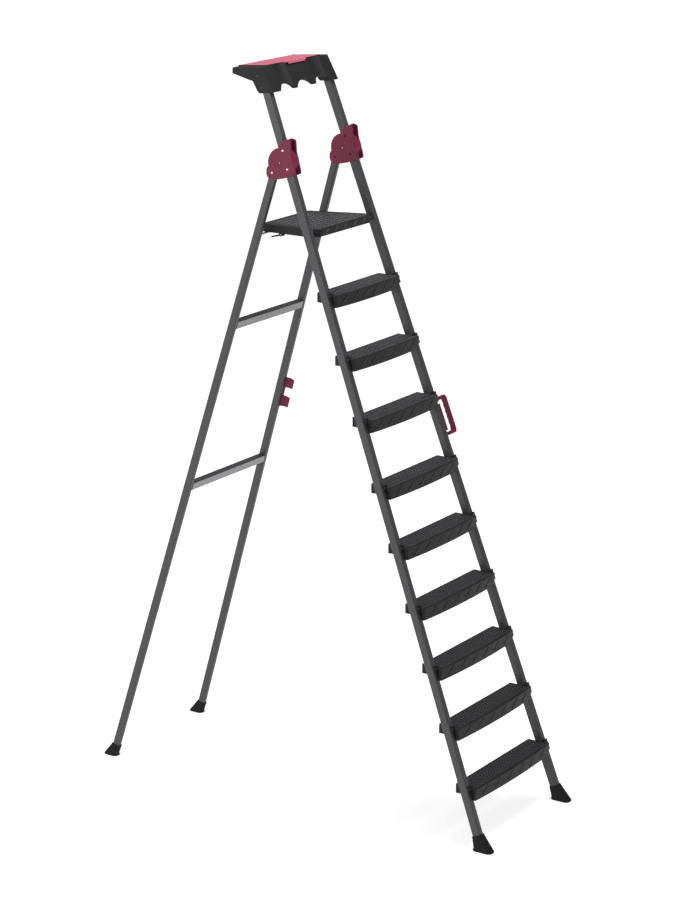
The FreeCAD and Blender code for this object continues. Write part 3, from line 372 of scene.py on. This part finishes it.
def block(bm, matrix, size, bevel=0.0, segments=2):
    """Bevelled box of that size, centred in the matrix."""
    scale = Matrix.Diagonal((*size, 1.0))
    made = bmesh.ops.create_cube(bm, size=1.0, matrix=matrix @ scale)
    if bevel > 0:
        edges = list({edge for vert in made["verts"] for edge in vert.link_edges})
        bmesh.ops.bevel(
            bm, geom=edges, offset=bevel, segments=segments, profile=0.5, affect="EDGES", material=-1
        )


def turn_round(bm, geometry, matrix, steps):
    """Sweep the geometry in a full turn about the matrix's Z axis."""
    axis = (matrix.to_3x3() @ Vector((0, 0, 1))).normalized()
    bmesh.ops.spin(
        bm, geom=geometry, cent=matrix.translation, axis=axis, angle=2 * pi, steps=steps, use_merge=True,
        use_duplicate=False
    )


def ring(bm, matrix, radius, section, around=64, sides=12):
    """Torus about the matrix's Z axis."""
    place = matrix @ at(radius, 0, 0, rx=pi / 2)
    verts = bmesh.ops.create_circle(bm, segments=sides, radius=section, matrix=place)["verts"]
    edges = list({edge for vert in verts for edge in vert.link_edges})
    turn_round(bm, verts + edges, matrix, around)


def lathe(bm, matrix, profile, steps=48):
    """Surface of revolution about the matrix's Z axis from (radius, height) points that end on the axis."""
    verts = [bm.verts.new(matrix @ Vector((r, 0.0, z))) for r, z in profile]
    edges = [bm.edges.new(pair) for pair in zip(verts, verts[1:])]
    turn_round(bm, verts + edges, matrix, steps)
    bmesh.ops.remove_doubles(bm, verts=bm.verts[:], dist=1e-7)


def band(bm, matrix, half_x, half_y, corner, profile):
    """Strip swept round a rounded rectangle in the matrix's XY plane; profile holds (outward, height) points."""
    verts = [bm.verts.new(matrix @ Vector((half_x + out, corner - half_y, height))) for out, height in profile]
    edges = [bm.edges.new((verts[i - 1], verts[i])) for i in range(len(verts))]
    turned = matrix.to_3x3()
    across = half_x - corner
    along = half_y - corner
    for run, centre in (
        ((0, 2 * along, 0), (across, along, 0)),
        ((-2 * across, 0, 0), (-across, along, 0)),
        ((0, -2 * along, 0), (-across, -along, 0)),
        ((2 * across, 0, 0), (across, -along, 0)),
    ):
        made = bmesh.ops.extrude_edge_only(bm, edges=edges)["geom"]
        verts = [item for item in made if isinstance(item, bmesh.types.BMVert)]
        edges = [item for item in made if isinstance(item, bmesh.types.BMEdge) and set(item.verts) <= set(verts)]
        bmesh.ops.translate(bm, verts=verts, vec=turned @ Vector(run))
        swept = bmesh.ops.spin(
            bm, geom=verts + edges, cent=matrix @ Vector(centre), axis=turned @ Vector((0, 0, 1)), angle=pi / 2,
            steps=4, use_duplicate=False
        )["geom_last"]
        edges = [item for item in swept if isinstance(item, bmesh.types.BMEdge)]
    bmesh.ops.remove_doubles(bm, verts=bm.verts[:], dist=1e-6)


def finish_piece(bm, name, body, material, smooth=True):
    """Object from the bmesh, riding on that CAD body."""
    bmesh.ops.recalc_face_normals(bm, faces=bm.faces[:])
    mesh = bpy.data.meshes.new(name)
    bm.to_mesh(mesh)
    bm.free()
    piece = bpy.data.objects.new(name, mesh)
    bpy.context.scene.collection.objects.link(piece)
    mesh.materials.append(bpy.data.materials[material])
    if smooth:
        for polygon in mesh.polygons:
            polygon.use_smooth = True
        mesh.set_sharp_from_angle(angle=radians(35))
    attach(piece, body)
    return piece


def at(x, y, z, rx=0.0, ry=0.0, rz=0.0):
    """Matrix at a point, turned by Euler angles in radians."""
    return Matrix.Translation((x, y, z)) @ Euler((rx, ry, rz)).to_matrix().to_4x4()


def rail_matrix(side, z):
    """On a front rail's centre line: local Z up the rail, local Y backwards."""
    return at(side * rail_x(z), rail_y(z), z, ry=-side * RAIL_SPLAY) @ at(0, 0, 0, rx=-RAIL_LEAN)


def leg_matrix(side, z):
    """On a rear leg's centre line: local Z up the leg, local Y backwards."""
    return at(side * leg_x(z), leg_y(z), z, ry=-side * LEG_SPLAY) @ at(0, 0, 0, rx=LEG_LEAN)


# ---------------------------------------------------------------- treads


RIDGE_TURN = radians(38)
RIDGE_ROWS = 6
RIDGE_MARGIN = 0.030
FIRST_ROW = -0.040
SLOT_TILT = radians(54)
SLOT_DROP = 0.023
NOSE_FORWARD = -0.059
NOSE_BULGE = 0.011
NOSE_INSET = 0.009


def ridge_row(bm, place, row, y, half, settings):
    """Row of slanting grip ridges across the matrix's X axis; every other row slants the other way."""
    columns = int(2 * half / settings.column_pitch)
    turn = RIDGE_TURN if row % 2 else -RIDGE_TURN
    size = (settings.ridge_length, settings.ridge_width, 2 * settings.ridge_height)
    for column in range(columns + 1):
        x = (column - columns / 2) * settings.column_pitch
        block(bm, place @ at(x, y, 0, rz=turn), size, 0.0005, 1)


def nose_line(half, x):
    """Forward offset from the rail centre line and heading of a tread's bulged nose at x."""
    chord = half - NOSE_INSET
    radius = (chord**2 + NOSE_BULGE**2) / (2 * NOSE_BULGE)
    drop = sqrt(radius**2 - x**2)
    return NOSE_FORWARD + radius - drop, atan2(x, drop)


class LADDER_OT_treads(bpy.types.Operator):
    """Add the grip ridges, in a lighter plastic as painted glints, and the slanted nose slots to every tread; the
    slots are dark strips of painted shade with lighter lips as painted highlights
    """

    bl_idname = "ladder.treads"
    bl_label = "Treads"

    def execute(self, context):
        settings = context.scene.ladder_treads
        for number, level in enumerate(TREAD_LEVELS, start=1):
            self.ridges(settings, number, level)
            self.slots(settings, number, level)
        return {"FINISHED"}

    def ridges(self, settings, number, level):
        bm = bmesh.new()
        place = at(0, rail_y(level) + FIRST_ROW, level)
        for row in range(RIDGE_ROWS):
            ridge_row(bm, place, row, row * settings.row_pitch, rail_x(level) - RIDGE_MARGIN, settings)
        finish_piece(bm, f"tread_{number}_ridges", "front_frame", "plastic_ridge_glint")

    def slots(self, settings, number, level):
        bm = bmesh.new()
        glint_lips = bmesh.new()
        half = rail_x(level) - 0.003
        count = settings.nose_slots
        for index in range(count):
            x = (index - (count - 1) / 2) * 2 * half / (count + 0.6)
            forward, heading = nose_line(half, x)
            slot = at(x, rail_y(level) + forward - 0.0001, level - SLOT_DROP, rz=heading) @ at(0, 0, 0, ry=SLOT_TILT)
            # Thin dark strip standing for a slot: its darkness is painted shade.
            block(bm, slot, (0.0050, 0.0012, 0.048), 0.0005, 1)
            # Lighter lip beside each slot: a painted highlight on the slot's edge.
            block(glint_lips, slot @ at(0.0034, 0, 0), (0.0012, 0.0016, 0.046), 0.0004, 1)
        finish_piece(bm, f"tread_{number}_slots", "front_frame", "plastic_groove_shade")
        finish_piece(glint_lips, f"tread_{number}_slot_glint_lips", "front_frame", "plastic_ridge_glint")


# ---------------------------------------------------------------- platform


DECK_HALF = 0.170
DECK_STRAIGHT = 0.06
DECK_TAPER = 0.1483


def platform_matrix():
    """At the middle of the platform's front top edge: local Y backwards along the deck."""
    return at(0, PLATFORM_FRONT, PLATFORM_LEVEL, rx=-PLATFORM_TILT)


class LADDER_OT_platform(bpy.types.Operator):
    """Add the platform's grip ridges and front slashes"""

    bl_idname = "ladder.platform"
    bl_label = "Platform"

    def execute(self, context):
        settings = context.scene.ladder_treads
        bm = bmesh.new()
        rows = int((PLATFORM_DEPTH - 0.036) / settings.row_pitch)
        for row in range(rows + 1):
            y = 0.016 + row * settings.row_pitch
            half = DECK_HALF - max(0.0, y - DECK_STRAIGHT) * DECK_TAPER
            ridge_row(bm, platform_matrix(), row, y, half, settings)
        # The platform ridges take the same painted glint colour.
        finish_piece(bm, "platform_ridges", "platform", "plastic_ridge_glint")
        bm = bmesh.new()
        for index in range(5):
            spot = platform_matrix() @ at((index - 2) * 0.066, 0.0, -0.014) @ at(0, 0, 0, ry=SLOT_TILT)
            block(bm, spot, (0.0030, 0.0012, 0.024), 0.0005, 1)
        finish_piece(bm, "platform_slashes", "platform", "plastic_slash")
        return {"FINISHED"}


# ---------------------------------------------------------------- hinges


class LADDER_OT_hinges(bpy.types.Operator):
    """Add the rings and the screw recesses to the hinge knuckles; the recesses are thin dark discs of painted shade
    """

    bl_idname = "ladder.hinges"
    bl_label = "Hinges"

    def execute(self, context):
        for side, name in ((-1, "left"), (1, "right")):
            rings = bmesh.new()
            wells = bmesh.new()
            base = at(side * rail_x(PIN.z), PIN.y, PIN.z, ry=-side * RAIL_SPLAY)
            for half in (-1, 1):
                face = base @ at(side * half * KNUCKLE_HALF, 0, 0, ry=side * half * pi / 2)
                ring(rings, face, 0.0095, 0.0007)
                ring(rings, face, 0.0165, 0.0006)
            for y, z in KNUCKLE_SCREWS:
                well = base @ at(-side * KNUCKLE_HALF, y, z, ry=-side * pi / 2)
                # Thin dark disc standing for a screw recess: painted shade.
                lathe(wells, well, [(0.0, 0.0003), (0.0042, 0.0003), (0.0047, -0.0003), (0.0, -0.0003)])
            finish_piece(rings, f"hinge_rings_{name}", "front_frame", "plastic_burgundy")
            finish_piece(wells, f"hinge_wells_{name}", "front_frame", "plastic_groove_shade")
        return {"FINISHED"}


# ---------------------------------------------------------------- tray


def tray_matrix():
    """On the tray's sloping top: origin at the middle of the front top edge, local Y backwards."""
    return at(0, 0.175, TRAY_TOP, rx=-TRAY_SLOPE)


class LADDER_OT_tray(bpy.types.Operator):
    """Add the rim round the lid and the lid's finger ribs"""

    bl_idname = "ladder.tray"
    bl_label = "Tray"

    def execute(self, context):
        bm = bmesh.new()
        for side in (-1, 1):
            block(bm, tray_matrix() @ at(side * 0.1870, 0.0720, 0.0010), (0.0040, 0.1220, 0.0040), 0.0010)
            block(bm, tray_matrix() @ at(side * 0.1265, 0.0085, 0.0010), (0.1210, 0.0035, 0.0040), 0.0010)
        finish_piece(bm, "tray_rim", "front_frame", "plastic_black")
        bm = bmesh.new()
        for index in range(5):
            block(bm, tray_matrix() @ at(0, -0.0055 + index * 0.0032, 0.0046), (0.084, 0.0012, 0.0016), 0.0004, 1)
        finish_piece(bm, "lid_finger_ribs", "lid", "plastic_lid")
        return {"FINISHED"}


# ---------------------------------------------------------------- feet


class LADDER_OT_feet(bpy.types.Operator):
    """Add the collar bands round the tops of the shoes"""

    bl_idname = "ladder.feet"
    bl_label = "Feet"

    def execute(self, context):
        for side, name in ((-1, "left"), (1, "right")):
            for kind, matrix, width, depth, top, body in (
                ("front", rail_matrix(side, 0.0), 0.0337, 0.0406, 0.0645, "front_frame"),
                ("rear", leg_matrix(side, 0.0), 0.0268, 0.0374, 0.0540, "rear_frame"),
            ):
                bm = bmesh.new()
                place = matrix @ at(0, 0, top - 0.005)
                shape = [(-0.0010, 0.0), (0.0007, 0.0006), (0.0007, 0.0034), (-0.0010, 0.0040)]
                band(bm, place, width / 2, depth / 2, 0.006, shape)
                finish_piece(bm, f"{kind}_foot_band_{name}", body, "rubber_black")
        return {"FINISHED"}


# ---------------------------------------------------------------- stage


CAMERA_SPOT = (-9.0506, -6.0188, 4.4505)
CAMERA_TURN = (radians(90 - 15.5859), 0, radians(-56.4847))
BRIGHT_SIDE = (-0.78, 0.60, 0.15)
FLOOR_REACH = 60.0


class LADDER_OT_stage(bpy.types.Operator):
    """Make the pale floor, the soft lights, the white surround and the camera"""

    bl_idname = "ladder.stage"
    bl_label = "Stage"

    def execute(self, context):
        settings = context.scene.ladder_stage
        scene = context.scene
        mesh = bpy.data.meshes.new("floor")
        bm = bmesh.new()
        bmesh.ops.create_grid(bm, x_segments=1, y_segments=1, size=FLOOR_REACH)
        bm.to_mesh(mesh)
        bm.free()
        floor = bpy.data.objects.new("floor", mesh)
        scene.collection.objects.link(floor)
        material = bpy.data.materials.new("floor_pale")
        material.use_nodes = True
        shader = material.node_tree.nodes["Principled BSDF"]
        shader.inputs["Base Color"].default_value = (0.86, 0.86, 0.86, 1)
        shader.inputs["Roughness"].default_value = 0.9
        shader.inputs["Specular IOR Level"].default_value = 0.0
        shader.inputs["Emission Color"].default_value = (1, 1, 1, 1)
        tree = material.node_tree
        spot = add(tree, "ShaderNodeTexCoord", -800, -200)
        reach = add(tree, "ShaderNodeVectorMath", -600, -200, operation="LENGTH")
        glow = add(tree, "ShaderNodeMapRange", -400, -200)
        glow.inputs["From Min"].default_value = 0.6
        glow.inputs["From Max"].default_value = 4.5
        glow.inputs["To Min"].default_value = 0.50
        glow.inputs["To Max"].default_value = 0.68
        tree.links.new(spot.outputs["Object"], reach.inputs[0])
        tree.links.new(reach.outputs["Value"], glow.inputs["Value"])
        tree.links.new(glow.outputs[0], shader.inputs["Emission Strength"])
        mesh.materials.append(material)
        world = bpy.data.worlds.new("surround")
        scene.world = world
        world.use_nodes = True
        tree = world.node_tree
        background = tree.nodes["Background"]
        path = add(tree, "ShaderNodeLightPath", -600, 0)
        level = add(tree, "ShaderNodeMapRange", -400, 0)
        heading = add(tree, "ShaderNodeTexCoord", -1000, -200)
        toward = add(tree, "ShaderNodeVectorMath", -800, -200, operation="DOT_PRODUCT")
        toward.inputs[1].default_value = BRIGHT_SIDE
        around = add(tree, "ShaderNodeMapRange", -600, -200)
        around.inputs["From Min"].default_value = -1.0
        around.inputs["To Min"].default_value = settings.fill_level * 0.30
        around.inputs["To Max"].default_value = settings.fill_level * 1.70
        tree.links.new(heading.outputs["Generated"], toward.inputs[0])
        tree.links.new(toward.outputs["Value"], around.inputs["Value"])
        tree.links.new(around.outputs[0], level.inputs["To Min"])
        level.inputs["To Max"].default_value = 1.05
        tree.links.new(path.outputs["Is Camera Ray"], level.inputs["Value"])
        tree.links.new(level.outputs[0], background.inputs["Strength"])
        background.inputs["Color"].default_value = (1, 1, 1, 1)
        for name, power, size, spot, target in (
            ("key_light", settings.key_power, 3.0, (-5.0, 1.5, 3.2), (0, 0, 1.4)),
            ("top_light", settings.top_power, 2.5, (0.5, -1.0, 5.5), (0, 0.1, 1.5)),
        ):
            data = bpy.data.lights.new(name, "AREA")
            data.energy = power
            data.shape = "DISK"
            data.size = size
            lamp = bpy.data.objects.new(name, data)
            lamp.location = spot
            lamp.rotation_euler = (Vector(target) - Vector(spot)).to_track_quat("-Z", "Y").to_euler()
            scene.collection.objects.link(lamp)
        data = bpy.data.cameras.new("camera")
        data.lens = settings.lens
        data.sensor_width = 36.0
        data.clip_end = 200.0
        camera = bpy.data.objects.new("camera", data)
        camera.location = CAMERA_SPOT
        camera.rotation_euler = CAMERA_TURN
        scene.collection.objects.link(camera)
        scene.camera = camera
        scene.view_settings.view_transform = "Standard"
        return {"FINISHED"}


# ---------------------------------------------------------------- panel and registration


OPERATORS = (
    LADDER_OT_materials,
    LADDER_OT_treads,
    LADDER_OT_platform,
    LADDER_OT_hinges,
    LADDER_OT_tray,
    LADDER_OT_feet,
    LADDER_OT_stage,
)


class LADDER_PT_panel(bpy.types.Panel):
    """Buttons for every group of pieces, with its settings"""

    bl_label = "Platform step ladder"
    bl_idname = "LADDER_PT_panel"
    bl_space_type = "VIEW_3D"
    bl_region_type = "UI"
    bl_category = "Ladder"

    def draw(self, context):
        layout = self.layout
        for operator in OPERATORS:
            layout.operator(operator.bl_idname)
        for settings in (context.scene.ladder_look, context.scene.ladder_treads, context.scene.ladder_stage):
            box = layout.box()
            for name in settings.__annotations__:
                box.prop(settings, name)


CLASSES = (LadderTreads, LadderLook, LadderStage, *OPERATORS, LADDER_PT_panel)


def register():
    for item in CLASSES:
        bpy.utils.register_class(item)
    bpy.types.Scene.ladder_treads = PointerProperty(type=LadderTreads)
    bpy.types.Scene.ladder_look = PointerProperty(type=LadderLook)
    bpy.types.Scene.ladder_stage = PointerProperty(type=LadderStage)


def unregister():
    del bpy.types.Scene.ladder_stage
    del bpy.types.Scene.ladder_look
    del bpy.types.Scene.ladder_treads
    for item in reversed(CLASSES):
        bpy.utils.unregister_class(item)


def main():
    register()
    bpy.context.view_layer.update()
    bpy.ops.ladder.materials()
    bpy.ops.ladder.treads()
    bpy.ops.ladder.platform()
    bpy.ops.ladder.hinges()
    bpy.ops.ladder.tray()
    bpy.ops.ladder.feet()
    bpy.ops.ladder.stage()


if __name__ == "__main__":
    main()
